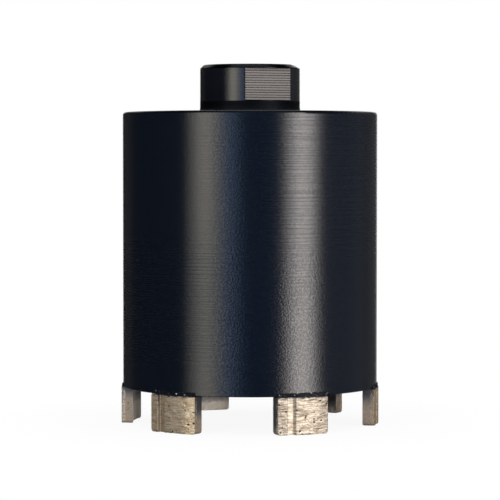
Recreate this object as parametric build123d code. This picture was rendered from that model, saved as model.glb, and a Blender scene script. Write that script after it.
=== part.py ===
from build123d import *
import math
import os

# Diamond core bit, millimetres.
# The origin is at the centre of the cutting plane, on the tips of the segments.
# +Z points to the drive hub. The wrench flats face -Y and +Y.

# Cutting segments
cut_diameter = 82.0
segment_count = 6
segment_length = 16.9
segment_thickness = 3.7
segment_height = 11.65
segment_corner_radius = 0.7
first_segment_angle = -90.0

# Relief groove in the outer face of each segment
groove_offset = -4.1
groove_floor_width = 2.1
groove_depth = 1.0
groove_wall_slope = 16.0

# Braze between a segment and the barrel's rim
braze_gap = 0.15
braze_climb = 0.9
braze_belly = 0.12

# Barrel
side_clearance = 0.6
barrel_wall = 2.3
barrel_height = 86.9
barrel_top_radius = 1.0
barrel_rim_chamfer = 0.2

# Back plate set into the top of the barrel
plate_thickness = 6.0
plate_under_chamfer = 0.6

# Drive hub
hub_diameter = 31.7
hub_height = 14.9
hub_top_chamfer = 1.05
width_across_flats = 27.7
flat_bottom = 3.65
flat_top = 13.55
spigot_diameter = 25.4
spigot_clearance = 0.05

# Female drive thread, drawn as a plain bore at its root
thread_major_diameter = 20.955
thread_mouth_chamfer = 0.9

# Worn spot on the hub's top edge
nick_angle = -32.0
nick_reach = 2.15
nick_slope = 29.0

# Weld around the foot of the hub
weld_height = 3.4
weld_root_depth = 2.4
weld_toe = 0.4
weld_hollow = 0.2

# Sizes and places that follow from the ones above
cut_radius = cut_diameter / 2
barrel_radius = cut_radius - side_clearance
bore_radius = barrel_radius - barrel_wall
segment_inner_radius = cut_radius - segment_thickness
rim_z = segment_height + braze_gap
barrel_top_z = rim_z + barrel_height
plate_under_z = barrel_top_z - plate_thickness
hub_radius = hub_diameter / 2
hub_top_z = barrel_top_z + hub_height
spigot_radius = spigot_diameter / 2
thread_radius = thread_major_diameter / 2


def turned(profile):
    """Turns a closed outline in the XZ plane about the Z axis."""
    return revolve(make_face(profile), Axis.Z)


def line(*points, close=False):
    """Straight lines in the XZ plane through (radius, height) pairs."""
    return Polyline([(r, 0, z) for r, z in points], close=close)


def arc(start, middle, end):
    """An arc in the XZ plane through three (radius, height) pairs."""
    return ThreePointArc(*[(r, 0, z) for r, z in (start, middle, end)])


def swung(shape, angle):
    """Swings a shape made facing +X to its place around the axis."""
    return Rot(0, 0, angle) * shape


def segment_slab(height_from, height_to):
    """The space between the two parallel end faces of one segment, facing +X."""
    slab = Box(cut_diameter, segment_length, height_to - height_from)
    return Pos(cut_radius, 0, (height_from + height_to) / 2) * slab


def make_barrel():
    """Steel tube, rounded at its closed end and plain at its rim."""
    corner = barrel_top_radius
    inset = corner * (1 - math.sqrt(0.5))
    break_size = barrel_rim_chamfer
    corner_top = (barrel_radius - corner, barrel_top_z)
    corner_side = (barrel_radius, barrel_top_z - corner)
    wall = line(
        corner_top,
        (bore_radius, barrel_top_z),
        (bore_radius, rim_z + break_size),
        (bore_radius + break_size, rim_z),
        (barrel_radius - break_size, rim_z),
        (barrel_radius, rim_z + break_size),
        corner_side,
    )
    rounding = arc(corner_side, (barrel_radius - inset, barrel_top_z - inset), corner_top)
    return turned(wall + rounding)


def make_back_plate():
    """Disc that closes the barrel, with a seat for the hub's spigot."""
    seat_radius = spigot_radius + spigot_clearance
    return turned(
        line(
            (seat_radius, plate_under_z),
            (bore_radius - plate_under_chamfer, plate_under_z),
            (bore_radius, plate_under_z + plate_under_chamfer),
            (bore_radius, barrel_top_z),
            (seat_radius, barrel_top_z),
            close=True,
        )
    )


def make_flat_pocket(side):
    """What is milled away for one wrench flat, on the side where Y has that sign."""
    depth = hub_radius - width_across_flats / 2
    pocket = Box(hub_diameter, 2 * depth, flat_top - flat_bottom)
    centre_y = width_across_flats / 2 + depth
    return Pos(0, side * centre_y, barrel_top_z + (flat_bottom + flat_top) / 2) * pocket


def make_nick():
    """The sloping wedge that is worn off the hub's top edge on one side."""
    inner = hub_radius - nick_reach
    outer = hub_radius + nick_reach
    fall = (outer - inner) * math.tan(math.radians(nick_slope))
    section = line(
        (inner, hub_top_z),
        (outer, hub_top_z - fall),
        (outer, hub_top_z + nick_reach),
        (inner, hub_top_z + nick_reach),
        close=True,
    )
    wedge = extrude(make_face(section), hub_radius, dir=(0, 1, 0), both=True)
    return swung(wedge, nick_angle)


def make_hub():
    """Turned hub with a spigot, a bevelled foot for its weld and two wrench flats."""
    body = turned(
        line(
            (thread_radius, plate_under_z),
            (spigot_radius, plate_under_z),
            (spigot_radius, barrel_top_z),
            (hub_radius - weld_root_depth, barrel_top_z),
            (hub_radius, barrel_top_z + weld_height),
            (hub_radius, hub_top_z - hub_top_chamfer),
            (hub_radius - hub_top_chamfer, hub_top_z),
            (thread_radius + thread_mouth_chamfer, hub_top_z),
            (thread_radius, hub_top_z - thread_mouth_chamfer),
            close=True,
        )
    )
    return body - make_flat_pocket(-1) - make_flat_pocket(1) - make_nick()


def make_hub_weld():
    """Ring of weld that fills the bevel at the hub's foot, with a hollow face."""
    top = (hub_radius, barrel_top_z + weld_height)
    toe = (hub_radius + weld_toe, barrel_top_z)
    root = (hub_radius - weld_root_depth, barrel_top_z)
    hollow = (hub_radius + weld_toe / 2 - weld_hollow, barrel_top_z + weld_height / 2)
    return turned(arc(top, hollow, toe) + line(toe, root, top))


def make_groove():
    """The groove with sloping walls that crosses a segment's outer face."""
    face_x = math.sqrt(cut_radius**2 - groove_offset**2)
    floor_x = face_x - groove_depth
    outside_x = face_x + groove_depth
    floor_half = groove_floor_width / 2
    spread = (outside_x - floor_x) * math.tan(math.radians(groove_wall_slope))
    section = Polyline(
        (floor_x, groove_offset - floor_half),
        (outside_x, groove_offset - floor_half - spread),
        (outside_x, groove_offset + floor_half + spread),
        (floor_x, groove_offset + floor_half),
        close=True,
    )
    return extrude(make_face(section), segment_height)


def make_segment():
    """One sintered segment facing +X: a piece of ring with parallel ends."""
    ring = Cylinder(cut_radius, segment_height) - Cylinder(segment_inner_radius, segment_height)
    block = Pos(0, 0, segment_height / 2) * ring & segment_slab(0, segment_height)
    tip_corners = block.edges().filter_by(GeomType.LINE).filter_by(Axis.X).group_by(Axis.Z)[0]
    return fillet(tip_corners, segment_corner_radius) - make_groove()


def make_braze_seam():
    """Braze under the rim, with a fillet up the barrel's outside and inside."""
    break_size = barrel_rim_chamfer
    seam_top_z = rim_z + braze_climb
    belly_z = (segment_height + seam_top_z) / 2 + braze_belly
    outer_top = (barrel_radius, seam_top_z)
    outer_belly = ((barrel_radius + cut_radius) / 2 + braze_belly, belly_z)
    outer_toe = (cut_radius, segment_height)
    inner_toe = (segment_inner_radius, segment_height)
    inner_belly = ((bore_radius + segment_inner_radius) / 2 - braze_belly, belly_z)
    inner_top = (bore_radius, seam_top_z)
    rim_side = line(
        inner_top,
        (bore_radius, rim_z + break_size),
        (bore_radius + break_size, rim_z),
        (barrel_radius - break_size, rim_z),
        (barrel_radius, rim_z + break_size),
        outer_top,
    )
    fillets = arc(outer_top, outer_belly, outer_toe) + arc(inner_toe, inner_belly, inner_top)
    ring = turned(fillets + line(outer_toe, inner_toe) + rim_side)
    return ring & segment_slab(segment_height, seam_top_z)


def save(shape, name):
    """Writes one piece to its own file."""
    export_step(shape.solid(), f"parts/{name}.step")


os.makedirs("parts", exist_ok=True)
save(make_barrel(), "barrel")
save(make_back_plate(), "back_plate")
save(make_hub(), "hub")
save(make_hub_weld(), "hub_weld")

segment = make_segment()
braze_seam = make_braze_seam()
for index in range(segment_count):
    angle = first_segment_angle + index * 360 / segment_count
    save(swung(segment, angle), f"segment_{index + 1}")
    save(swung(braze_seam, angle), f"braze_seam_{index + 1}")
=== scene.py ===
import math
import random

import bpy
import numpy as np
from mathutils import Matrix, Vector


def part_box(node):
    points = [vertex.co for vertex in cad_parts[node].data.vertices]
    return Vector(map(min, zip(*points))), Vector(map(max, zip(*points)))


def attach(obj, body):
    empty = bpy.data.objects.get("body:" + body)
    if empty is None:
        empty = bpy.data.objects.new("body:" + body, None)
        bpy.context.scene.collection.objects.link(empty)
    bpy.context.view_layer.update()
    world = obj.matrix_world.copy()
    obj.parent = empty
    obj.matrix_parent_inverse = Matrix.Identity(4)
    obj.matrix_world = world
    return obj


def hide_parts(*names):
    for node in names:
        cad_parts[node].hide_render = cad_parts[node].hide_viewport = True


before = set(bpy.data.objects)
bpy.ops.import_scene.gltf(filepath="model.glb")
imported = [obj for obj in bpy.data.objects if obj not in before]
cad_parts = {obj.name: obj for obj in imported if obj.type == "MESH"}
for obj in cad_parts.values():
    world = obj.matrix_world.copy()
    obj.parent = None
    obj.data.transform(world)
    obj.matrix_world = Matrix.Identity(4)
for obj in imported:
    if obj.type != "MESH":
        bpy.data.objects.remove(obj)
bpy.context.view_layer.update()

# Barrel: a piece of thick steel tube, turned on its outside and closed at the top.
# The lathe leaves fine lines round it. It is sprayed with a thin dark blue satin paint
# that follows them, and the paint is grainier near the cutting rim and dull inside.
mm = 0.001
barrel_low, barrel_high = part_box("barrel")
barrel_radius = barrel_high.x
tube_wall = 2.3 * mm
bore_radius = barrel_radius - tube_wall
rim_z = barrel_low.z
plate_z = barrel_high.z
paint_blue = (0.0012, 0.0031, 0.0074, 1)
inside_grey = (0.020, 0.021, 0.025, 1)
satin = 0.25
turned_line = 0.36 * mm
paint_speck = 0.5 * mm
ring_seed = 3.0


def new_group(name, inputs, outputs):
    """An empty shader node group with number inputs and the outputs asked for."""
    group = bpy.data.node_groups.new(name, "ShaderNodeTree")
    for socket, value in inputs.items():
        item = group.interface.new_socket(socket, in_out="INPUT", socket_type="NodeSocketFloat")
        item.default_value = value
    for socket in outputs:
        group.interface.new_socket(socket, in_out="OUTPUT", socket_type="NodeSocketFloat")
    return group, group.nodes.new("NodeGroupInput").outputs, group.nodes.new("NodeGroupOutput").inputs


def feed(tree, node, **inputs):
    """Fills a node's inputs, by name or as in0, in1: a socket is linked, and any other value is set."""
    for name, value in inputs.items():
        socket = node.inputs[int(name[2:])] if name.startswith("in") else node.inputs[name.replace("_", " ")]
        if isinstance(value, bpy.types.NodeSocket):
            tree.links.new(value, socket)
        else:
            socket.default_value = value


def add_node(tree, kind, settings=None, **inputs):
    """A node with its settings and its inputs filled."""
    node = tree.nodes.new(kind)
    for name, value in (settings or {}).items():
        setattr(node, name, value)
    feed(tree, node, **inputs)
    return node


def add_math(tree, operation, first, second=0.0, third=0.0):
    """The output of one Math node."""
    node = add_node(tree, "ShaderNodeMath", {"operation": operation}, in0=first, in1=second, in2=third)
    return node.outputs[0]


def add_chain(tree, operation, first, *others):
    """One operation carried through several values."""
    for other in others:
        first = add_math(tree, operation, first, other)
    return first


def add_range(tree, value, low, high, to_low=0.0, to_high=1.0):
    """A smooth step from one value to another over a range."""
    return add_node(
        tree, "ShaderNodeMapRange", {"interpolation_type": "SMOOTHSTEP"},
        Value=value, From_Min=low, From_Max=high, To_Min=to_low, To_Max=to_high,
    ).outputs[0]


def add_noise(tree, vector, scale, detail=2.0, roughness=0.6, seed=0.0):
    """The height of a noise pattern, about 0.5 on average."""
    node = add_node(tree, "ShaderNodeTexNoise", {"noise_dimensions": "4D"},
                    Vector=vector, W=seed, Scale=scale, Detail=detail, Roughness=roughness)
    return node.outputs[0]


def add_place(tree):
    """The point on the piece, its x, y and z, and its distance from the turning axis."""
    place = add_node(tree, "ShaderNodeTexCoord").outputs["Object"]
    x, y, z = add_node(tree, "ShaderNodeSeparateXYZ", Vector=place).outputs
    level = add_node(tree, "ShaderNodeCombineXYZ", X=x, Y=y).outputs[0]
    radius = add_node(tree, "ShaderNodeVectorMath", {"operation": "LENGTH"}, in0=level).outputs["Value"]
    return place, x, y, z, radius


def add_blend(tree, factor, first, second):
    """The output of a number mix."""
    node = add_node(tree, "ShaderNodeMix", {"data_type": "FLOAT"}, Factor=factor, in2=first, in3=second)
    return node.outputs[0]


def make_turning_lines():
    """Lathe lines round the Z axis: along the height on a side, along the radius on an end."""
    group, given, out = new_group(
        "turning_lines", {"On End": 0.0, "Line Width": turned_line, "Seed": 0.0}, ("Height", "Streaks")
    )
    line_length = 26 * mm
    _, x, y, z, radius = add_place(group)
    across = add_blend(group, given["On End"], z, radius)
    lines = add_math(group, "DIVIDE", across, given["Line Width"])
    x, y = (add_math(group, "MULTIPLY", side, 1 / line_length) for side in (x, y))
    heights = []
    for level in (lines, add_math(group, "ADD", lines, 1.2)):
        point = add_node(group, "ShaderNodeCombineXYZ", X=x, Y=y, Z=level).outputs[0]
        heights.append(add_noise(group, point, 1.0, 0.0, 0.5, given["Seed"]))
    height = add_math(group, "SUBTRACT", *heights)
    group.links.new(height, out["Height"])
    group.links.new(add_range(group, height, -0.25, 0.25), out["Streaks"])
    return group


def make_paint_grain():
    """The fine orange peel and specks of a thin sprayed coat."""
    group, given, out = new_group(
        "paint_grain", {"Grain Size": paint_speck, "Seed": 0.0}, ("Height", "Specks")
    )
    fineness = add_math(group, "DIVIDE", 1.0, given["Grain Size"])
    grain = add_noise(group, add_place(group)[0], fineness, 0.6, 0.5, given["Seed"])
    group.links.new(grain, out["Height"])
    group.links.new(add_range(group, grain, 0.38, 0.66), out["Specks"])
    return group


turning_lines = make_turning_lines()
paint_grain = make_paint_grain()


def new_material(name):
    """A material with its tree and its Principled shader."""
    material = bpy.data.materials.new(name)
    material.use_nodes = True
    tree = material.node_tree
    return material, tree, tree.nodes["Principled BSDF"]


def use_group(tree, group, **inputs):
    """The outputs of one of the shared effects, placed in a material."""
    return add_node(tree, "ShaderNodeGroup", {"node_tree": group}, **inputs).outputs


def add_mix(tree, factor, first, second):
    """The output of a colour mix."""
    node = add_node(tree, "ShaderNodeMix", {"data_type": "RGBA"}, Factor=factor, in6=first, in7=second)
    return node.outputs[2]


def add_bump(tree, height, distance, below=None):
    """A bump normal, laid over another one where that is given."""
    node = add_node(tree, "ShaderNodeBump", Height=height, Distance=distance, Strength=1.0)
    if below:
        feed(tree, node, Normal=below)
    return node.outputs[0]


def keep_depth(tree, colour, dull):
    """Where the gloss is dulled by some metallic, the paint's own colour stays as deep as elsewhere."""
    gain = add_math(tree, "DIVIDE", 1.0, add_math(tree, "SUBTRACT", 1.0, dull))
    return add_node(tree, "ShaderNodeVectorMath", {"operation": "SCALE"}, in0=colour, Scale=gain).outputs[0]


def brush_sheen(tree, shader):
    """Satin paint that spreads light across the turning lines more than along them."""
    feed(tree, shader, Specular_IOR_Level=0.9, Anisotropic=0.7, Anisotropic_Rotation=0.25)


def make_barrel_paint():
    """Dark satin paint over the turned tube.

    Its lines show most high up at the front, and lower down at the left. Its grain shows most
    between the two and towards the rim. The rounded corner by the plate is darkened by metallic, as painted
    shade.
    """
    material, tree, shader = new_material("barrel_paint")
    _, x, _, height, radius = add_place(tree)
    on_end = add_range(tree, height, plate_z - 0.12 * mm, plate_z - 0.04 * mm)
    inside = add_range(tree, radius, bore_radius + 0.1 * mm, bore_radius + 0.3 * mm, 1.0, 0.0)
    # Painted shade: metallic over the dark paint darkens the rounded corner by the plate.
    painted_corner_shade = add_math(tree, "MULTIPLY",
                      add_range(tree, height, plate_z - 0.9 * mm, plate_z - 0.3 * mm, 0.0, 0.95),
                      add_range(tree, radius, barrel_radius - 0.8 * mm, barrel_radius - 0.5 * mm))
    seed = add_math(tree, "MULTIPLY", on_end, ring_seed)
    lines = use_group(tree, turning_lines, On_End=on_end, Line_Width=turned_line, Seed=seed)
    ruled_front = add_range(tree, height, rim_z + 3 * mm, rim_z + 68 * mm, 0.10, 0.88)
    ruled_left = add_math(tree, "MINIMUM",
                          add_range(tree, height, 52 * mm, 66 * mm, 0.8, 0.38),
                          add_range(tree, height, rim_z + 2 * mm, rim_z + 20 * mm, 0.5, 0.8))
    ruled = add_blend(tree, add_range(tree, x, -20 * mm, -8 * mm), 0.36, ruled_front)
    ruled = add_blend(tree, add_range(tree, x, -27 * mm, -23 * mm), ruled_left, ruled)
    ruled = add_math(tree, "MAXIMUM", ruled, on_end)
    dark_line = add_math(tree, "MULTIPLY", add_math(tree, "SUBTRACT", 1.0, lines["Streaks"]), ruled)
    grain = use_group(tree, paint_grain, Grain_Size=paint_speck)
    grainy = add_chain(tree, "MULTIPLY",
                       add_range(tree, x, -28 * mm, -22 * mm, 0.55, 1.25),
                       add_range(tree, x, -19 * mm, -8 * mm, 1.0, 0.64),
                       add_range(tree, height, 42 * mm, 75 * mm, 1.05, 0.76))
    dull = add_math(tree, "MULTIPLY", add_math(tree, "MULTIPLY_ADD", grain["Specks"], -0.36, 0.36), grainy)
    dull = add_math(tree, "MULTIPLY_ADD", dark_line, 0.26, dull)
    colour = add_mix(tree, add_math(tree, "MULTIPLY", inside, 0.8), paint_blue, inside_grey)
    rough = add_math(tree, "MULTIPLY_ADD", dark_line, 0.04, satin)
    line_height = add_math(tree, "MULTIPLY", lines["Height"], ruled)
    grain_normal = add_bump(tree, add_math(tree, "MULTIPLY", grain["Height"], grainy), 0.06 * mm)
    feed(tree, shader, Base_Color=keep_depth(tree, colour, dull),
         Metallic=add_math(tree, "MAXIMUM", dull, painted_corner_shade),
         Roughness=add_blend(tree, inside, rough, 0.55),
         Normal=add_bump(tree, line_height, 0.02 * mm, grain_normal))
    brush_sheen(tree, shader)
    return material


def dress(node, material):
    """Gives a CAD node its material."""
    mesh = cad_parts[node].data
    mesh.materials.clear()
    mesh.materials.append(material)


dress("barrel", make_barrel_paint())

# Back plate: a steel disc set into the end of the tube, faced off flush on the lathe.
# The facing tool leaves fine rings on it, under the same paint as the barrel's.


def make_plate_paint():
    """The same paint over faced rings."""
    material, tree, shader = new_material("plate_paint")
    rings = use_group(tree, turning_lines, On_End=1.0, Line_Width=turned_line, Seed=ring_seed)
    grain = use_group(tree, paint_grain, Grain_Size=paint_speck, Seed=ring_seed)
    dark_line = add_math(tree, "SUBTRACT", 1.0, rings["Streaks"])
    dull = add_math(tree, "MULTIPLY_ADD", grain["Specks"], -0.26, 0.26)
    dull = add_math(tree, "MULTIPLY_ADD", dark_line, 0.28, dull)
    grain_normal = add_bump(tree, grain["Height"], 0.035 * mm)
    feed(tree, shader, Base_Color=keep_depth(tree, paint_blue[:3], dull), Metallic=dull,
         Roughness=add_math(tree, "MULTIPLY_ADD", dark_line, 0.06, satin),
         Normal=add_bump(tree, rings["Height"], 0.03 * mm, grain_normal))
    brush_sheen(tree, shader)
    return material


dress("back_plate", make_plate_paint())

# Drive hub: turned from round bar, with a chamfered top and two flats milled for a wrench.
# The cutter has left level lines on the flats. One spot of its top edge is worn down.
# It is sprayed with the barrel, and bare in its bore.
hub_low, hub_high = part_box("hub")
hub_radius = hub_high.x
hub_top_z = hub_high.z
hub_under_z = hub_low.z
spigot_radius = 12.7 * mm
thread_radius = 10.4775 * mm
chamfer = 1.05 * mm
mouth = 0.9 * mm
foot_bevel = 2.4 * mm
weld_z = plate_z + 3.4 * mm
flat_y = 13.85 * mm
flat_bottom_z = plate_z + 3.65 * mm
flat_top_z = plate_z + 13.55 * mm
mill_lines = 13
mill_pitch = (flat_top_z - flat_bottom_z) / mill_lines
mill_line_half = 0.1 * mm
nick_angle = math.radians(-32)
nick_slope = math.radians(29)
nick_reach = 2.15 * mm
nick_block_half = 3 * mm
near = 0.01 * mm
past = 1 * mm
hub_blue = (0.0026, 0.0036, 0.0066, 1)
milled_grey = (0.010, 0.0085, 0.0085, 1)
bore_steel = (0.16, 0.15, 0.14, 1), (0.33, 0.32, 0.30, 1)
hub_seed = 7.0


def select_alone(piece):
    """Makes a piece the active one and the only one that is selected."""
    bpy.ops.object.select_all(action="DESELECT")
    piece.select_set(True)
    bpy.context.view_layer.objects.active = piece


def apply_modifiers(piece):
    """Applies all the modifiers of a piece, in order."""
    select_alone(piece)
    for modifier in list(piece.modifiers):
        bpy.ops.object.modifier_apply(modifier=modifier.name)


def apply_place():
    """Takes the place, turn and size of the selected piece into its mesh."""
    bpy.ops.object.transform_apply(location=True, rotation=True, scale=True)


def swing(piece, angle):
    """Turns the selected piece about the turning axis, in its mesh."""
    piece.rotation_euler.z = angle
    apply_place()


def edit(piece):
    """Opens a piece alone in edit mode with all of it selected."""
    select_alone(piece)
    bpy.ops.object.mode_set(mode="EDIT")
    bpy.ops.mesh.select_mode(type="VERT")
    bpy.ops.mesh.select_all(action="SELECT")


def pick(piece, wanted):
    """In edit mode, selects just the vertices that a test on their place accepts."""
    bpy.ops.mesh.select_all(action="DESELECT")
    bpy.ops.object.mode_set(mode="OBJECT")
    for vertex in piece.data.vertices:
        vertex.select = wanted(vertex.co)
    bpy.ops.object.mode_set(mode="EDIT")


def turn(name, stations, steps):
    """A turned ring: a circle is extruded through (radius, height) stations and closed on itself."""
    radius, height = stations[0]
    bpy.ops.object.select_all(action="DESELECT")
    bpy.ops.mesh.primitive_circle_add(vertices=steps, radius=radius, location=(0, 0, height))
    piece = bpy.context.object
    piece.name = piece.data.name = name
    apply_place()
    edit(piece)
    for next_radius, next_height in stations[1:] + stations[:1]:
        bpy.ops.mesh.extrude_edges_move(TRANSFORM_OT_translate={"value": (0, 0, next_height - height)})
        factor = next_radius / radius
        bpy.ops.transform.resize(value=(factor, factor, 1), center_override=(0, 0, next_height))
        radius, height = next_radius, next_height
    bpy.ops.mesh.select_all(action="SELECT")
    bpy.ops.mesh.remove_doubles(threshold=0.002 * mm)
    bpy.ops.mesh.normals_make_consistent(inside=False)
    bpy.ops.object.mode_set(mode="OBJECT")
    return piece


def add_block(low, high):
    """A cube primitive between two corners, as a cutter to be shaped."""
    bpy.ops.object.select_all(action="DESELECT")
    centre = [(a + b) / 2 for a, b in zip(low, high)]
    bpy.ops.mesh.primitive_cube_add(size=1, location=centre, scale=[b - a for a, b in zip(low, high)])
    apply_place()
    return bpy.context.object


def cut(piece, cutter, operation="DIFFERENCE"):
    """Takes a cutter away from a piece, or keeps what they share."""
    modifier = piece.modifiers.new("cut", "BOOLEAN")
    modifier.object = cutter
    modifier.operation = operation
    apply_modifiers(piece)
    bpy.data.objects.remove(cutter)


def make_mill_cutter(angle):
    """What the milling cutter takes for one flat, with a shallow groove where each pass met the next."""
    cutter = add_block((-hub_radius, flat_y, flat_bottom_z), (hub_radius, hub_radius + past, flat_top_z))
    edit(cutter)
    levels = [flat_bottom_z + line * mill_pitch for line in range(1, mill_lines)]
    for level in levels:
        for offset in (-mill_line_half, 0, mill_line_half):
            bpy.ops.mesh.select_all(action="SELECT")
            bpy.ops.mesh.bisect(plane_co=(0, 0, level + offset), plane_no=(0, 0, 1), threshold=0.001 * mm)
    for line, level in enumerate(levels, 1):
        pick(cutter, lambda co: abs(co.z - level) < near and co.y < flat_y + near)
        depth = (0.065 + 0.015 * ((line * 5) % 4) / 3) * mm
        bpy.ops.transform.translate(value=(0, -depth, 0))
    bpy.ops.object.mode_set(mode="OBJECT")
    swing(cutter, angle)
    return cutter


def make_nick_cutter():
    """The sloping wedge that is worn off the top edge at one side."""
    inner = hub_radius - nick_reach
    outer = hub_radius + nick_reach
    fall = (outer - inner) * math.tan(nick_slope)
    cutter = add_block((inner, -hub_radius, hub_top_z - nick_block_half),
                       (outer, hub_radius, hub_top_z + nick_block_half))
    edit(cutter)
    pick(cutter, lambda co: co.z < hub_top_z and co.x < hub_radius)
    bpy.ops.transform.translate(value=(0, 0, nick_block_half))
    pick(cutter, lambda co: co.z < hub_top_z and co.x > hub_radius)
    bpy.ops.transform.translate(value=(0, 0, nick_block_half - fall))
    bpy.ops.object.mode_set(mode="OBJECT")
    swing(cutter, nick_angle)
    return cutter


def soften(piece, width, angle, smooth):
    """A small bevel on the edges sharper than an angle, and smooth shading over the shallow ones."""
    modifier = piece.modifiers.new("softened_edges", "BEVEL")
    modifier.width = width
    modifier.segments = 2
    modifier.limit_method = "ANGLE"
    modifier.angle_limit = math.radians(angle)
    apply_modifiers(piece)
    bpy.ops.object.shade_smooth_by_angle(angle=math.radians(smooth))


def add_drawn_out(tree, place, across, up):
    """The place, scaled for a pattern that is drawn out level, by how many fit in a metre each way."""
    return add_node(tree, "ShaderNodeMapping", Vector=place, Scale=(across, across, up)).outputs[0]


def make_hub_paint():
    """Paint over turned sides and milled flats, and bare steel in the bore.

    Each milled line is dark. The flats near their top edge and the narrow ledges
    over and under them are darkened as painted shade.
    """
    material, tree, shader = new_material("hub_paint")
    place, _, y, z, radius = add_place(tree)
    depth = add_math(tree, "SUBTRACT", add_math(tree, "ABSOLUTE", y), flat_y)
    on_flat = add_chain(tree, "MULTIPLY",
                        add_range(tree, depth, 0.01 * mm, 0.04 * mm, 1.0, 0.0),
                        add_range(tree, depth, -0.20 * mm, -0.12 * mm),
                        add_range(tree, radius, flat_y - 0.2 * mm, flat_y - 0.1 * mm),
                        add_range(tree, z, flat_bottom_z + 0.02 * mm, flat_bottom_z + 0.08 * mm),
                        add_range(tree, z, flat_top_z - 0.04 * mm, flat_top_z - 0.01 * mm, 1.0, 0.0))
    in_bore = add_range(tree, radius, thread_radius + 0.05 * mm, thread_radius + 0.6 * mm, 1.0, 0.0)
    lines = use_group(tree, turning_lines, Line_Width=0.35 * mm, Seed=hub_seed)
    grain = use_group(tree, paint_grain, Grain_Size=0.45 * mm, Seed=hub_seed)
    passes = add_math(tree, "DIVIDE", add_math(tree, "SUBTRACT", z, flat_bottom_z), mill_pitch)
    to_line = add_math(tree, "PINGPONG", passes, 0.5)
    drawn_out = add_drawn_out(tree, place, 30, 3600)
    scratch = add_range(tree, add_noise(tree, drawn_out, 1.0, 1.0, 0.5), 0.36, 0.64)
    line_strength = add_range(tree, add_noise(tree, drawn_out, 0.25, 1.0), 0.38, 0.6, 0.3, 1.0)
    mill_line = add_math(tree, "MULTIPLY", add_range(tree, to_line, 0.10, 0.24, 1.0, 0.0), line_strength)
    mill_marks_and_shade = add_math(tree, "MAXIMUM", mill_line, add_math(tree, "MULTIPLY_ADD", scratch, -0.35, 0.35))
    mill_marks_and_shade = add_math(tree, "MULTIPLY_ADD", mill_marks_and_shade, 0.54, 0.25)
    # Painted shade: the flats darken towards their top edge.
    painted_shade_near_top = add_range(tree, z, flat_top_z - 1.9 * mm, flat_top_z - 0.3 * mm, 0.0, 0.75)
    mill_marks_and_shade = add_math(tree, "MAXIMUM", mill_marks_and_shade, painted_shade_near_top)
    turned_dark = add_math(tree, "MULTIPLY_ADD", lines["Streaks"], -0.12, 0.12)
    # dark_line here carries the mill marks and the painted shade on the flats.
    dark_line = add_blend(tree, on_flat, turned_dark, mill_marks_and_shade)
    # Painted shade: metallic darkens the narrow ledges over and under the flats.
    over = add_range(tree, z, flat_top_z - 0.03 * mm, flat_top_z + 0.03 * mm, 0.0, 0.85)
    under = add_math(tree, "MULTIPLY",
                     add_range(tree, z, flat_bottom_z - 0.03 * mm, flat_bottom_z + 0.03 * mm, 0.9, 0.0),
                     add_range(tree, depth, -0.1 * mm, 0.2 * mm))
    colour = add_mix(tree, add_math(tree, "MULTIPLY", on_flat, 0.8), hub_blue, milled_grey)
    colour = add_mix(tree, in_bore, keep_depth(tree, colour, dark_line), add_mix(tree, scratch, *bore_steel))
    rough = add_math(tree, "MULTIPLY_ADD", dark_line, 0.05, satin)
    feed(tree, shader, Base_Color=colour,
         Metallic=add_chain(tree, "MAXIMUM", over, under, dark_line, in_bore),
         Roughness=add_blend(tree, in_bore, rough, 0.42),
         Normal=add_bump(tree, grain["Height"], 0.03 * mm))
    brush_sheen(tree, shader)
    return material


def make_hub():
    """The turned body with its flats, its worn spot and its edges just broken."""
    hub = turn("drive_hub", [
        (thread_radius, hub_under_z),
        (spigot_radius, hub_under_z),
        (spigot_radius, plate_z),
        (hub_radius - foot_bevel, plate_z),
        (hub_radius, weld_z),
        (hub_radius, hub_top_z - chamfer),
        (hub_radius - chamfer, hub_top_z),
        (thread_radius + mouth, hub_top_z),
        (thread_radius, hub_top_z - mouth),
    ], steps=192)
    for angle in (math.pi, 0):
        cut(hub, make_mill_cutter(angle))
    cut(hub, make_nick_cutter())
    soften(hub, width=0.07 * mm, angle=42, smooth=20)
    hub.data.materials.append(make_hub_paint())
    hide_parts("hub")
    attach(hub, "root")


make_hub()

# Drive thread: cut into the hub's bore on the lathe, a half-inch pipe thread.
# It is bare steel with a film of oil, and the paint has reached its first turns.
thread_pitch = 1.814 * mm
thread_depth = 1.162 * mm
thread_half_foot = 0.86 * mm
thread_half_crest = 0.24 * mm
thread_turns = 13
thread_steel = (0.20, 0.19, 0.18, 1), (0.40, 0.39, 0.37, 1)
root_painted_shade = (0.035, 0.032, 0.030, 1)


def make_thread_steel():
    """Bare cut steel, darkened in its roots as painted shade, and darker where paint has reached the mouth.
    """
    material, tree, shader = new_material("thread_steel")
    place, _, _, z, radius = add_place(tree)
    wear = add_noise(tree, place, 900, 3.0, 0.6)
    # Painted shade: the colour darkens towards the thread's roots.
    root = add_range(tree, radius, thread_radius - 0.5 * mm, thread_radius, 0.0, 0.7)
    steel = add_mix(tree, add_range(tree, wear, 0.35, 0.65), *thread_steel)
    steel = add_mix(tree, root, steel, root_painted_shade)
    ragged_z = add_math(tree, "MULTIPLY_ADD", wear, 3 * mm, z)
    sprayed = add_range(tree, ragged_z, hub_top_z - 3.5 * mm, hub_top_z)
    feed(tree, shader, Base_Color=add_mix(tree, sprayed, steel, paint_blue),
         Metallic=add_math(tree, "SUBTRACT", 1.0, sprayed),
         Roughness=add_math(tree, "MULTIPLY_ADD", wear, 0.2, 0.28),
         Normal=add_bump(tree, wear, 0.02 * mm))
    return material


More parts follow.
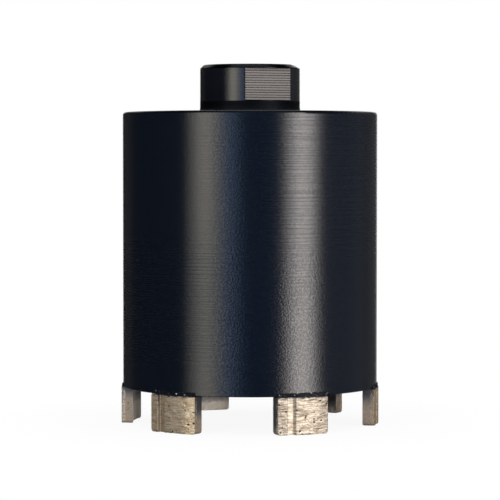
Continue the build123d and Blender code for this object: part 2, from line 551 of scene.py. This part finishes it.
def make_thread():
    """One ridge wound up the bore, trimmed at the underside and at the mouth's cone."""
    bury = 0.05 * mm
    spare = 0.4 * mm
    foot = thread_radius + bury
    crest = thread_radius - thread_depth
    middle = (foot + crest) / 2
    start_z = hub_under_z - thread_pitch
    bpy.ops.object.select_all(action="DESELECT")
    bpy.ops.mesh.primitive_plane_add(size=1, location=(middle, 0, start_z), rotation=(math.pi / 2, 0, 0))
    thread = bpy.context.object
    thread.name = thread.data.name = "drive_thread"
    thread.scale = (foot - crest, 2 * thread_half_foot, 1)
    apply_place()
    edit(thread)
    pick(thread, lambda co: co.x < middle)
    narrow = thread_half_crest / thread_half_foot
    bpy.ops.transform.resize(value=(1, 1, narrow), center_override=(crest, 0, start_z))
    bpy.ops.mesh.select_all(action="SELECT")
    bpy.ops.mesh.delete(type="ONLY_FACE")
    bpy.ops.object.mode_set(mode="OBJECT")
    winding = thread.modifiers.new("winding", "SCREW")
    winding.screw_offset = thread_pitch
    winding.iterations = thread_turns
    winding.steps = winding.render_steps = 72
    winding.use_merge_vertices = False
    apply_modifiers(thread)
    edit(thread)
    bpy.ops.mesh.fill_holes(sides=6)
    bpy.ops.mesh.normals_make_consistent(inside=False)
    bpy.ops.object.mode_set(mode="OBJECT")
    room = turn("thread_room", [
        (crest - spare, hub_under_z),
        (foot + past, hub_under_z),
        (foot + past, hub_top_z - mouth + bury + past),
        (crest - spare, hub_top_z - mouth - thread_depth - spare),
    ], steps=144)
    cut(thread, room, "INTERSECT")
    soften(thread, width=0.06 * mm, angle=30, smooth=30)
    thread.data.materials.append(make_thread_steel())
    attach(thread, "root")


make_thread()

# Hub weld: a ring of weld that fills the bevel at the hub's foot, sprayed over.
# It is a little rippled, and dulled by metallic over a near-black base, more towards its
# top: painted shade that keeps it darker than the turned steel round it.
# Its outline is given in mm from the hub's side and the plate's face.
weld_outline = [(-2.3, 0.02), (0.35, 0.02), (0.26, 0.22), (0.10, 0.75), (0.02, 1.4),
                (0.0, 2.1), (0.02, 2.8), (0.03, 3.3), (-0.03, 3.50), (-0.35, 3.3)]
weld_black = (0.0058, 0.0070, 0.0100, 1)
weld_grey = (0.014, 0.015, 0.018, 1)


def lump(piece, name, size, strength, level):
    """Pushes a surface out and in by a cloudy pattern, which at its level moves nothing."""
    clouds = bpy.data.textures.new(name, "CLOUDS")
    clouds.noise_scale = size
    clouds.noise_depth = 2
    modifier = piece.modifiers.new(name, "DISPLACE")
    modifier.texture = clouds
    modifier.texture_coords = "LOCAL"
    modifier.strength = strength
    modifier.mid_level = level


def make_weld_paint():
    """Paint over the weld's ripples, dulled by metallic as painted shade, less so at its foot."""
    material, tree, shader = new_material("weld_paint")
    place, _, _, z, _ = add_place(tree)
    ripple = add_noise(tree, place, 260, 2.0, 0.5)
    grain = use_group(tree, paint_grain, Grain_Size=paint_speck, Seed=11.0)
    specks = add_math(tree, "MULTIPLY", grain["Specks"], 0.25)
    # Painted shade: metallic over the near-black base dulls the weld, more towards its top, less at its
    # foot.
    feed(tree, shader, Base_Color=add_mix(tree, specks, weld_black, weld_grey),
         Metallic=add_range(tree, z, plate_z + 0.3 * mm, plate_z + 2.4 * mm, 0.55, 0.85),
         Roughness=add_math(tree, "MULTIPLY_ADD", ripple, 0.15, 0.42),
         Normal=add_bump(tree, ripple, 0.16 * mm, add_bump(tree, grain["Height"], 0.03 * mm)),
         Specular_IOR_Level=0.15)
    return material


def make_hub_weld():
    """The ring, its face a little hollow, with the lumps of a hand-made weld."""
    stations = [(hub_radius + out * mm, plate_z + up * mm) for out, up in weld_outline]
    weld = turn("hub_weld_bead", stations, steps=240)
    lump(weld, "weld_lumps", size=2.6 * mm, strength=0.08 * mm, level=0.7)
    apply_modifiers(weld)
    bpy.ops.object.shade_smooth_by_angle(angle=math.radians(50))
    weld.data.materials.append(make_weld_paint())
    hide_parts("hub_weld")
    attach(weld, "root")


make_hub_weld()

# Cutting segments: blocks of metal powder and diamond grit, pressed and sintered.
# Each has a relief groove, its outer face is ground to size, its tips are a little worn,
# and spray has reached its ends, its inside and the top of its groove. Their inner faces are painted paler,
# as painted light.
segment_low, segment_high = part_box("segment_1")
cut_radius = -segment_low.y
segment_thickness = 3.7 * mm
segment_inner_radius = cut_radius - segment_thickness
segment_half = segment_high.x
segment_top_z = segment_high.z
block_shrink = 0.01 * mm
groove_x = -4.1 * mm
groove_half = 1.05 * mm
groove_depth = 1.0 * mm
groove_slope = math.radians(16)
tip_radius = 1.1 * mm
tip_steps = 7
grit_pits = 30
tip_chips = 14
first_seed = 40
worn_length = 4.6 * mm
ground_metal = (0.275, 0.230, 0.174, 1), (0.715, 0.63, 0.525, 1)
ground_stain = (0.24, 0.195, 0.15, 1)
bright_grain = (0.86, 0.80, 0.71, 1)
pressed_metal = (0.20, 0.158, 0.120, 1), (0.33, 0.270, 0.215, 1)
pressed_stain = (0.24, 0.20, 0.17, 1)
inner_painted_light = (0.88, 0.80, 0.71, 1)
tarnish_gold = (0.66, 0.48, 0.26, 1)
tarnish_brown = (0.12, 0.085, 0.055, 1)
groove_brown = (0.20, 0.14, 0.08, 1)
hole_brown = (0.075, 0.055, 0.040, 1)
haze_grey = (0.15, 0.165, 0.19, 1)
spray_black = (0.012, 0.015, 0.024, 1)


def trim(piece, point, normal):
    """Cuts off what lies past a plane and closes the cut."""
    edit(piece)
    bpy.ops.mesh.bisect(plane_co=point, plane_no=normal, use_fill=True, clear_outer=True,
                        threshold=0.001 * mm)
    bpy.ops.object.mode_set(mode="OBJECT")


def cut_to_length(ring, half):
    """Keeps the piece of a ring that faces -Y, between two parallel end faces."""
    trim(ring, (0, -10 * mm, 0), (0, 1, 0))
    trim(ring, (half, 0, 0), (1, 0, 0))
    trim(ring, (-half, 0, 0), (-1, 0, 0))


def remesh(piece, voxel):
    """An even skin of small faces, with the sharpness just off its edges."""
    modifier = piece.modifiers.new("even_skin", "REMESH")
    modifier.mode = "VOXEL"
    modifier.voxel_size = voxel
    smooth = piece.modifiers.new("soft_edges", "SMOOTH")
    smooth.factor = 0.5
    smooth.iterations = 2
    apply_modifiers(piece)


def make_groove_cutter():
    """The dovetailed bar that leaves the groove."""
    face_y = -math.sqrt(cut_radius**2 - groove_x**2)
    floor_y = face_y + groove_depth
    outside_y = face_y - groove_depth
    cutter = add_block((groove_x - groove_half, outside_y, -past),
                       (groove_x + groove_half, floor_y, segment_top_z + past))
    edit(cutter)
    pick(cutter, lambda co: co.y < face_y)
    wide = (groove_half + (floor_y - outside_y) * math.tan(groove_slope)) / groove_half
    bpy.ops.transform.resize(value=(wide, 1, 1), center_override=(groove_x, outside_y, 0))
    bpy.ops.object.mode_set(mode="OBJECT")
    return cutter


def make_segment_block():
    """One block facing -Y, before its surface gets its grain."""
    block = turn("segment_block", [
        (segment_inner_radius, block_shrink),
        (cut_radius - block_shrink, block_shrink),
        (cut_radius - block_shrink, segment_top_z),
        (segment_inner_radius, segment_top_z),
    ], steps=360)
    cut_to_length(block, segment_half)
    for side in (-1, 1):
        for step in range(1, tip_steps):
            lean = math.pi / 2 * step / tip_steps
            normal = (side * math.sin(lean), 0, -math.cos(lean))
            middle_x = side * (segment_half - tip_radius)
            trim(block, (middle_x + tip_radius * normal[0], 0, tip_radius * (1 + normal[2])), normal)
    cut(block, make_groove_cutter())
    remesh(block, voxel=0.13 * mm)
    return block


def wear_surface(piece, seed, left, right, inside, rough, yellow, worn_low):
    """Pits where grit has come out, chips at the tip, and what is stored for the material.

    left, right and inside are the heights in mm that the spray comes down to on the two ends
    and on the inner face. rough is how rough the outer face was ground, and yellow how much
    it is tarnished. worn_low is how far in mm its right end is worn back.
    """
    chance = random.Random(seed)
    mesh = piece.data
    count = len(mesh.vertices)
    places = np.empty(count * 3, dtype=np.float32)
    normals = np.empty(count * 3, dtype=np.float32)
    mesh.vertices.foreach_get("co", places)
    mesh.vertex_normals.foreach_get("vector", normals)
    places, normals = places.reshape(-1, 3), normals.reshape(-1, 3)
    grit = np.zeros(count, dtype=np.float32)
    for _ in range(grit_pits):
        on_face = chance.random() < 0.62
        size = chance.uniform(0.16, 0.42) * mm
        depth = chance.uniform(0.08, 0.22) * mm
        place = np.array([
            (1 - 2 * chance.uniform(0, 1) ** 1.4) * segment_half,
            -(cut_radius if on_face else chance.uniform(segment_inner_radius, cut_radius)),
            chance.uniform(0, 1) ** 1.25 * (segment_top_z - 0.8 * mm),
        ])
        if on_face:
            place[1] = -math.sqrt(cut_radius**2 - place[0]**2)
        away = (places - place) * np.array([0.75, 1.0, 1.15])
        fall = np.clip(1 - (away**2).sum(1) / size**2, 0, 1)
        places -= normals * (fall**2 * depth)[:, None]
        grit = np.maximum(grit, fall)
    for _ in range(tip_chips):
        between = chance.uniform(segment_inner_radius, cut_radius)
        radius = chance.choice((segment_inner_radius, cut_radius, cut_radius, between))
        x = chance.uniform(-segment_half, segment_half)
        away = (places - np.array([x, -math.sqrt(radius**2 - x**2), 0.0])) * np.array([0.7, 1.0, 1.0])
        fall = np.clip(1 - (away**2).sum(1) / (chance.uniform(0.35, 0.8) * mm) ** 2, 0, 1)
        places[:, 2] += fall * chance.uniform(0.12, 0.34) * mm
    worn = np.clip(1 - (segment_half - places[:, 0]) / worn_length, 0, 1)
    places[:, 1] += np.where(normals[:, 1] < -0.6, worn**2, 0) * worn_low * mm
    mesh.vertices.foreach_set("co", places.ravel())
    mesh.update()
    foot = np.where(normals[:, 1] > 0.6, inside, np.where(places[:, 0] < 0, left, right)) * mm
    for name, values in (("grit", grit), ("spray_foot", foot), ("ground_rough", rough), ("tarnish", yellow)):
        layer = mesh.attributes.new(name, "FLOAT", "POINT")
        layer.data.foreach_set("value", np.full(count, values, dtype=np.float32))


def add_attribute(tree, name):
    """A value that is stored on the mesh."""
    return add_node(tree, "ShaderNodeAttribute", {"attribute_name": name}).outputs["Fac"]


def add_facing(tree, x, y):
    """How far the surface faces away from the turning axis, from -1 to 1."""
    level = add_node(tree, "ShaderNodeCombineXYZ", X=x, Y=y).outputs[0]
    outward = add_node(tree, "ShaderNodeVectorMath", {"operation": "NORMALIZE"}, in0=level).outputs[0]
    normal = add_node(tree, "ShaderNodeNewGeometry").outputs["Normal"]
    return add_node(tree, "ShaderNodeVectorMath", {"operation": "DOT_PRODUCT"},
                    in0=outward, in1=normal).outputs["Value"]


def add_spray(tree, place, z, ground, groove):
    """How much spray lies on a segment: it comes down to a ragged edge, and little on the ground face."""
    ragged = add_math(tree, "MULTIPLY_ADD", add_noise(tree, place, 900, 3.0, 0.6), 1.6 * mm, -0.8 * mm)
    foot = add_attribute(tree, "spray_foot")
    low = add_blend(tree, groove, foot, 9.4 * mm)
    low = add_blend(tree, ground, low, segment_top_z - 0.55 * mm)
    high = add_blend(tree, groove, add_math(tree, "ADD", foot, 4.5 * mm), 14.5 * mm)
    high = add_blend(tree, ground, high, segment_top_z - 0.10 * mm)
    spray = add_range(tree, add_math(tree, "ADD", z, ragged), low, high)
    return add_math(tree, "MULTIPLY", spray, add_blend(tree, ground, 0.9, 1.0))


def make_segment_metal():
    """Ground sintered metal with pits, overspray on what was not ground, and a paler inner face that is
    painted light.
    """
    material, tree, shader = new_material("segment_metal")
    place, x, y, z, radius = add_place(tree)
    facing = add_facing(tree, x, y)
    ground = add_math(tree, "MULTIPLY",
                      add_range(tree, radius, cut_radius - 0.60 * mm, cut_radius - 0.42 * mm),
                      add_range(tree, facing, 0.55, 0.8))
    groove = add_math(tree, "MULTIPLY",
                      add_range(tree, radius, cut_radius - 1.3 * mm, cut_radius - 1.1 * mm),
                      add_range(tree, facing, 0.15, 0.3))
    inner = add_range(tree, facing, -0.7, -0.4, 1.0, 0.0)
    smooth_metal = add_math(tree, "MAXIMUM", ground, groove)
    streak = add_noise(tree, add_drawn_out(tree, place, 330, 2300), 1.0, 4.0, 0.65)
    wide = add_drawn_out(tree, place, 300, 1000)
    blotch = add_noise(tree, wide, 1.0, 2.0, 0.5)
    sinter = add_noise(tree, place, 3200, 3.0, 0.7)
    patches = add_range(tree, add_noise(tree, place, 520, 3.0, 0.6, 9.0), 0.35, 0.65, 0.5, 1.5)
    tarnish = add_math(tree, "MULTIPLY", add_attribute(tree, "tarnish"), patches)
    stain = add_range(tree, add_noise(tree, wide, 1.2, 3.0, 0.6, 21.0), 0.52, 0.66, 0.0, 0.45)

    ground_colour = add_mix(tree, add_range(tree, streak, 0.36, 0.62), *ground_metal)
    ground_colour = add_mix(tree, add_range(tree, sinter, 0.58, 0.75), ground_colour, bright_grain)
    ground_colour = add_mix(tree, tarnish, ground_colour, tarnish_gold)
    ground_colour = add_mix(tree, stain, ground_colour, ground_stain)
    dark_groove = add_chain(tree, "MULTIPLY", groove, tarnish, add_blend(tree, ground, 3.6, 1.8))
    dark_groove = add_math(tree, "MINIMUM", dark_groove, 0.72)
    ground_colour = add_mix(tree, dark_groove, ground_colour, groove_brown)
    pressed = add_mix(tree, add_range(tree, sinter, 0.35, 0.65), *pressed_metal)
    pressed = add_mix(tree, add_range(tree, blotch, 0.35, 0.7, 0.0, 0.5), pressed, pressed_stain)
    # Painted light: the inner faces are made paler than the metal is.
    pressed = add_mix(tree, add_math(tree, "MULTIPLY", inner, 0.85), pressed, inner_painted_light)
    pressed = add_mix(tree, tarnish, pressed, tarnish_brown)
    colour = add_mix(tree, smooth_metal, pressed, ground_colour)

    hole = add_range(tree, add_attribute(tree, "grit"), 0.15, 0.5)
    speck = add_math(tree, "MULTIPLY",
                     add_range(tree, add_noise(tree, place, 1500, 1.0, 0.5, 5.0), 0.30, 0.36, 0.6, 0.0),
                     add_range(tree, facing, -0.7, -0.4))
    colour = add_mix(tree, add_math(tree, "MAXIMUM", hole, speck), colour, hole_brown)
    spray = add_spray(tree, place, z, ground, groove)
    colour = add_mix(tree, add_range(tree, spray, 0.02, 0.35, 0.0, 0.4), colour, haze_grey)
    colour = add_mix(tree, spray, colour, spray_black)

    metallic = add_blend(tree, smooth_metal, add_math(tree, "MULTIPLY_ADD", inner, 0.15, 0.2),
                         add_math(tree, "MULTIPLY_ADD", tarnish, -0.6, 0.74))
    ground_rough = add_attribute(tree, "ground_rough")
    waves = add_chain(tree, "MULTIPLY", ground_rough, 9.5, blotch)
    streak_height = add_math(tree, "MULTIPLY", add_math(tree, "ADD", waves, streak), ground)
    feed(tree, shader, Base_Color=colour,
         Metallic=add_math(tree, "MULTIPLY", add_math(tree, "SUBTRACT", 1.0, spray), metallic),
         Roughness=add_blend(tree, smooth_metal, add_math(tree, "MULTIPLY_ADD", inner, -0.2, 0.58),
                             add_math(tree, "MULTIPLY_ADD", sinter, 0.14, ground_rough)),
         Normal=add_bump(tree, streak_height, 0.16 * mm, add_bump(tree, sinter, 0.035 * mm)))
    return material


def copy_piece(piece, name):
    """A copy with its own mesh, selected alone."""
    select_alone(piece)
    bpy.ops.object.duplicate()
    copy = bpy.context.object
    copy.name = copy.data.name = name
    return copy


segment_metal = make_segment_metal()
segment_block = make_segment_block()
segment_wear = [
    (-1.2, 6, 6, 0.36, 0.0, 0.0),
    (5.6, 8, 6, 0.42, 0.3, 0.0),
    (4.2, 5.5, 0.5, 0.3, 0.6, 0.0),
    (5, 7.5, 1.8, 0.3, 0.0, 0.0),
    (7, 7.2, 5.0, 0.3, 0.0, 0.0),
    (6.5, 3.5, 6, 0.14, 0.22, 0.25),
]
for index, wear in enumerate(segment_wear):
    segment = copy_piece(segment_block, f"sintered_segment_{index + 1}")
    wear_surface(segment, first_seed + index, *wear)
    swing(segment, index * math.pi / 3)
    lump(segment, f"sinter_waves_{index + 1}", size=1.3 * mm, strength=0.10 * mm, level=1.0)
    lump(segment, f"sinter_grain_{index + 1}", size=0.4 * mm, strength=0.03 * mm, level=1.0)
    apply_modifiers(segment)
    bpy.ops.object.shade_smooth()
    segment.data.materials.append(segment_metal)
    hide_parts(f"segment_{index + 1}")
    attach(segment, "root")
bpy.data.objects.remove(segment_block)

# Braze seams: silver solder that has run between each segment and the rim, then been
# sprayed over. It stands a little proud and lumpy. Metallic over a near-black base dulls it,
# as painted shade, and small pale specks on it are painted glints.
seam_black = (0.0048, 0.0058, 0.0095, 1)
seam_grey = (0.016, 0.019, 0.028, 1)
painted_glint_pale = (0.36, 0.40, 0.46, 1)


def wipe_flush(piece, radius):
    """Presses back what stands out further from the axis than a radius."""
    places = np.empty(len(piece.data.vertices) * 3, dtype=np.float32)
    piece.data.vertices.foreach_get("co", places)
    places = places.reshape(-1, 3)
    reach = np.hypot(places[:, 0], places[:, 1])
    places[:, :2] *= np.minimum(1, radius / reach)[:, None]
    piece.data.vertices.foreach_set("co", places.ravel())
    piece.data.update()


def make_seam_paint():
    """Paint over lumpy braze, dulled by metallic as painted shade, with pale specks as painted glints."""
    material, tree, shader = new_material("seam_paint")
    grain = use_group(tree, paint_grain, Grain_Size=0.45 * mm, Seed=17.0)
    speck = add_range(tree, add_noise(tree, add_place(tree)[0], 1250, 1.0, 0.5, 9.0), 0.64, 0.70)
    colour = add_mix(tree, add_math(tree, "MULTIPLY", grain["Specks"], 0.5), seam_black, seam_grey)
    # Painted highlight: pale specks stand in for glints on the bead.
    colour = add_mix(tree, add_math(tree, "MULTIPLY", speck, 0.75), colour, painted_glint_pale)
    # Painted shade: metallic over the near-black base keeps the bead dark.
    feed(tree, shader, Base_Color=colour,
         Metallic=add_math(tree, "MULTIPLY_ADD", speck, -0.7, 0.7),
         Roughness=add_math(tree, "MULTIPLY_ADD", grain["Height"], 0.25, 0.28),
         Normal=add_bump(tree, grain["Height"], 0.15 * mm))
    return material


seam_bead = turn("seam_bead", [
    (segment_inner_radius + 0.05 * mm, segment_top_z - 0.12 * mm),
    (cut_radius - 0.14 * mm, segment_top_z - 0.12 * mm),
    (cut_radius - 0.13 * mm, rim_z + 0.25 * mm),
    (cut_radius - 0.22 * mm, rim_z + 0.75 * mm),
    (barrel_radius + 0.04 * mm, rim_z + 1.25 * mm),
    (barrel_radius - 0.5 * mm, rim_z + 0.9 * mm),
    (bore_radius + 0.5 * mm, rim_z + 0.9 * mm),
    (bore_radius - 0.02 * mm, rim_z + 1.10 * mm),
    (segment_inner_radius + 0.30 * mm, rim_z + 0.62 * mm),
    (segment_inner_radius + 0.07 * mm, rim_z + 0.20 * mm),
], steps=360)
cut_to_length(seam_bead, segment_half - 0.02 * mm)
remesh(seam_bead, voxel=0.12 * mm)
seam_paint = make_seam_paint()
for index in range(len(segment_wear)):
    seam = copy_piece(seam_bead, f"painted_seam_{index + 1}")
    swing(seam, index * math.pi / 3)
    lump(seam, f"seam_lumps_{index + 1}", size=0.8 * mm, strength=0.62 * mm, level=0.72)
    lump(seam, f"seam_grain_{index + 1}", size=0.3 * mm, strength=0.10 * mm, level=0.9)
    apply_modifiers(seam)
    wipe_flush(seam, cut_radius - 0.02 * mm)
    bpy.ops.object.shade_smooth()
    seam.data.materials.append(seam_paint)
    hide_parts(f"braze_seam_{index + 1}")
    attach(seam, "root")
bpy.data.objects.remove(seam_bead)

# Studio: the camera, and two tall soft boxes, one each side of it. Each box is three in one
# place, the wider the further back, so its edges are soft. Weak glows beside and behind the
# part lift its edges, two high ones the hub's chamfer, and a fill lights what is not glossy.
camera_azimuth = math.radians(-23.8)
camera_distance = 778 * mm
camera_height = 85.2 * mm
camera_pitch = math.radians(2.23)
lens_pixels = 2444.7
picture_pixels = 500
box_top = 0.34
right_box_top = 0.30
glow_top = 0.38
high_glow_top = 0.60
box_layers = ((0.30, 34, 0.47, 0.0), (0.40, 22, 0.46, 0.045), (0.30, 12, 0.45, 0.0))


def around(azimuth, distance, height):
    """The point at an angle round the part, counted from the camera's side of it."""
    return Vector((distance * math.sin(azimuth), -distance * math.cos(azimuth), height))


camera_data = bpy.data.cameras.new("camera")
camera_data.sensor_width = 36
camera_data.lens = lens_pixels / picture_pixels * camera_data.sensor_width
camera = bpy.data.objects.new("camera", camera_data)
camera.location = around(camera_azimuth, camera_distance, camera_height)
camera.rotation_euler = (math.pi / 2 - camera_pitch, 0, camera_azimuth)
bpy.context.scene.collection.objects.link(camera)
bpy.context.scene.camera = camera


def add_soft_box(name, offset, span, distance, low, high, radiance, colour, lean=0):
    """A tall soft light facing the part.

    offset is the angle of its middle from the camera's side and span the angle that its width
    takes up, both in degrees. low and high are the heights of its two ends in metres.
    """
    data = bpy.data.lights.new(name, "AREA")
    data.shape = "RECTANGLE"
    data.size = 2 * distance * math.tan(math.radians(span) / 2)
    data.size_y = high - low
    data.energy = radiance * math.pi * data.size * data.size_y
    data.color = colour
    azimuth = camera_azimuth + math.radians(offset)
    light = bpy.data.objects.new(name, data)
    light.location = around(azimuth, distance, (low + high) / 2)
    light.rotation_euler = (math.pi / 2, math.radians(lean), azimuth)
    bpy.context.scene.collection.objects.link(light)
    return light


for share, width, distance, low in box_layers:
    add_soft_box(f"left_soft_box_{width}", -38.5, width, distance, low, box_top,
                 2.42 * share, (1.0, 0.95, 0.82))
    add_soft_box(f"left_edge_glow_{width}", -18, 0.65 * width, distance + 0.04, 0.0, box_top,
                 0.95 * share, (0.45, 0.63, 1.0))
    add_soft_box(f"right_soft_box_{width}", 46.5, width, distance, 0.0, right_box_top,
                 6.0 * share, (1.0, 0.93, 0.87), lean=6)
add_soft_box("blue_front_glow", 6, 44, 0.52, 0.0, glow_top, 0.07, (0.05, 0.35, 1.0))
add_soft_box("right_side_glow", 92, 56, 0.5, 0.0, glow_top, 0.165, (0.85, 0.88, 1.0))
add_soft_box("right_rear_glow", 140, 40, 0.5, 0.0, glow_top, 0.09, (1.0, 0.96, 0.95))
add_soft_box("left_side_glow", -100, 60, 0.5, 0.0, glow_top, 0.010, (1.0, 0.75, 0.5))
add_soft_box("left_rear_glow", -142, 26, 0.5, 0.0, glow_top, 0.035, (1.0, 0.9, 0.8))
add_soft_box("left_high_glow", -152, 30, 0.6, box_top, high_glow_top, 0.6, (1.0, 0.97, 0.95))
add_soft_box("right_high_glow", 152, 30, 0.6, box_top, high_glow_top, 0.8, (1.0, 0.97, 0.95))
front_fill = add_soft_box("front_fill", -15, 60, 0.6, 0.0, 0.32, 2.8, (1.0, 0.98, 0.96))
front_fill.visible_glossy = False

# Dark tent: the soft boxes stand in a dark room with a mirror for a table top, and this is
# all that the paint mirrors apart from them and the pale backdrop. Only reflections see it.
tent_radius = 1.4
tent_height = 3.2
backdrop_half_angle = math.radians(14)
bpy.ops.object.select_all(action="DESELECT")
bpy.ops.mesh.primitive_cylinder_add(vertices=72, radius=tent_radius, depth=tent_height,
                                    location=(0, 0, tent_height / 2 + 0.1 * mm))
tent = bpy.context.object
tent.name = "dark_tent"
away_from_camera = around(camera_azimuth, -1, 0)
bpy.ops.object.mode_set(mode="EDIT")
bpy.ops.mesh.select_mode(type="FACE")
bpy.ops.mesh.select_all(action="DESELECT")
bpy.ops.object.mode_set(mode="OBJECT")
for face in tent.data.polygons:
    sideways = face.normal.dot(away_from_camera) > math.cos(backdrop_half_angle)
    face.select = sideways or face.normal.z > 0.5
bpy.ops.object.mode_set(mode="EDIT")
bpy.ops.mesh.delete(type="FACE")
bpy.ops.object.mode_set(mode="OBJECT")
tent.visible_camera = False
tent.visible_diffuse = False
tent.visible_shadow = False
tent_black, tent_tree, tent_shader = new_material("tent_black")
feed(tent_tree, tent_shader, Base_Color=(0.003, 0.0032, 0.0036, 1), Roughness=1.0, Specular_IOR_Level=0.0)
table_mirror, table_tree, table_shader = new_material("table_mirror")
feed(table_tree, table_shader, Base_Color=(0.9, 0.9, 0.9, 1), Metallic=1.0, Roughness=0.03)
tent.data.materials.append(tent_black)
tent.data.materials.append(table_mirror)
for face in tent.data.polygons:
    face.material_index = 1 if face.normal.z < -0.5 else 0

# Floor and surround: white where the camera, a reflection or a clear material sees them.
# The floor is matt, and keeps the part's soft shadow near its foot.
bpy.ops.mesh.primitive_plane_add(size=60, location=(0, 0, 0))
floor = bpy.context.object
floor.name = "floor"


def add_seen(tree):
    """1 for what the camera, a reflection or a clear material sees directly."""
    path = add_node(tree, "ShaderNodeLightPath").outputs
    return add_chain(tree, "MAXIMUM",
                     path["Is Camera Ray"], path["Is Glossy Ray"], path["Is Transmission Ray"])


def make_floor_white():
    """Near white for the camera and for reflections, with the part's soft shadow on it."""
    material, tree, shader = new_material("floor_white")
    feed(tree, shader, Base_Color=(0.86, 0.86, 0.86, 1), Roughness=0.9, Specular_IOR_Level=0.0)
    glow = add_node(tree, "ShaderNodeEmission", Strength=1.0)
    place = add_node(tree, "ShaderNodeTexCoord").outputs["Object"]
    away = add_node(tree, "ShaderNodeVectorMath", {"operation": "LENGTH"}, in0=place).outputs[1]
    share = add_range(tree, away, 0.042, 0.11, 0.92, 1.0)
    blend = add_node(tree, "ShaderNodeMixShader", in0=add_math(tree, "MULTIPLY", add_seen(tree), share),
                     in1=shader.outputs[0], in2=glow.outputs[0])
    feed(tree, tree.nodes["Material Output"], Surface=blend.outputs[0])
    return material


floor.data.materials.append(make_floor_white())

world = bpy.data.worlds.new("white_surround")
world.use_nodes = True
bpy.context.scene.world = world
sky = world.node_tree
sky_strength = add_math(sky, "MULTIPLY_ADD", add_seen(sky), 0.2, 0.8)
feed(sky, sky.nodes["Background"], Color=(1, 1, 1, 1), Strength=sky_strength)
bpy.context.scene.view_settings.view_transform = "Standard"
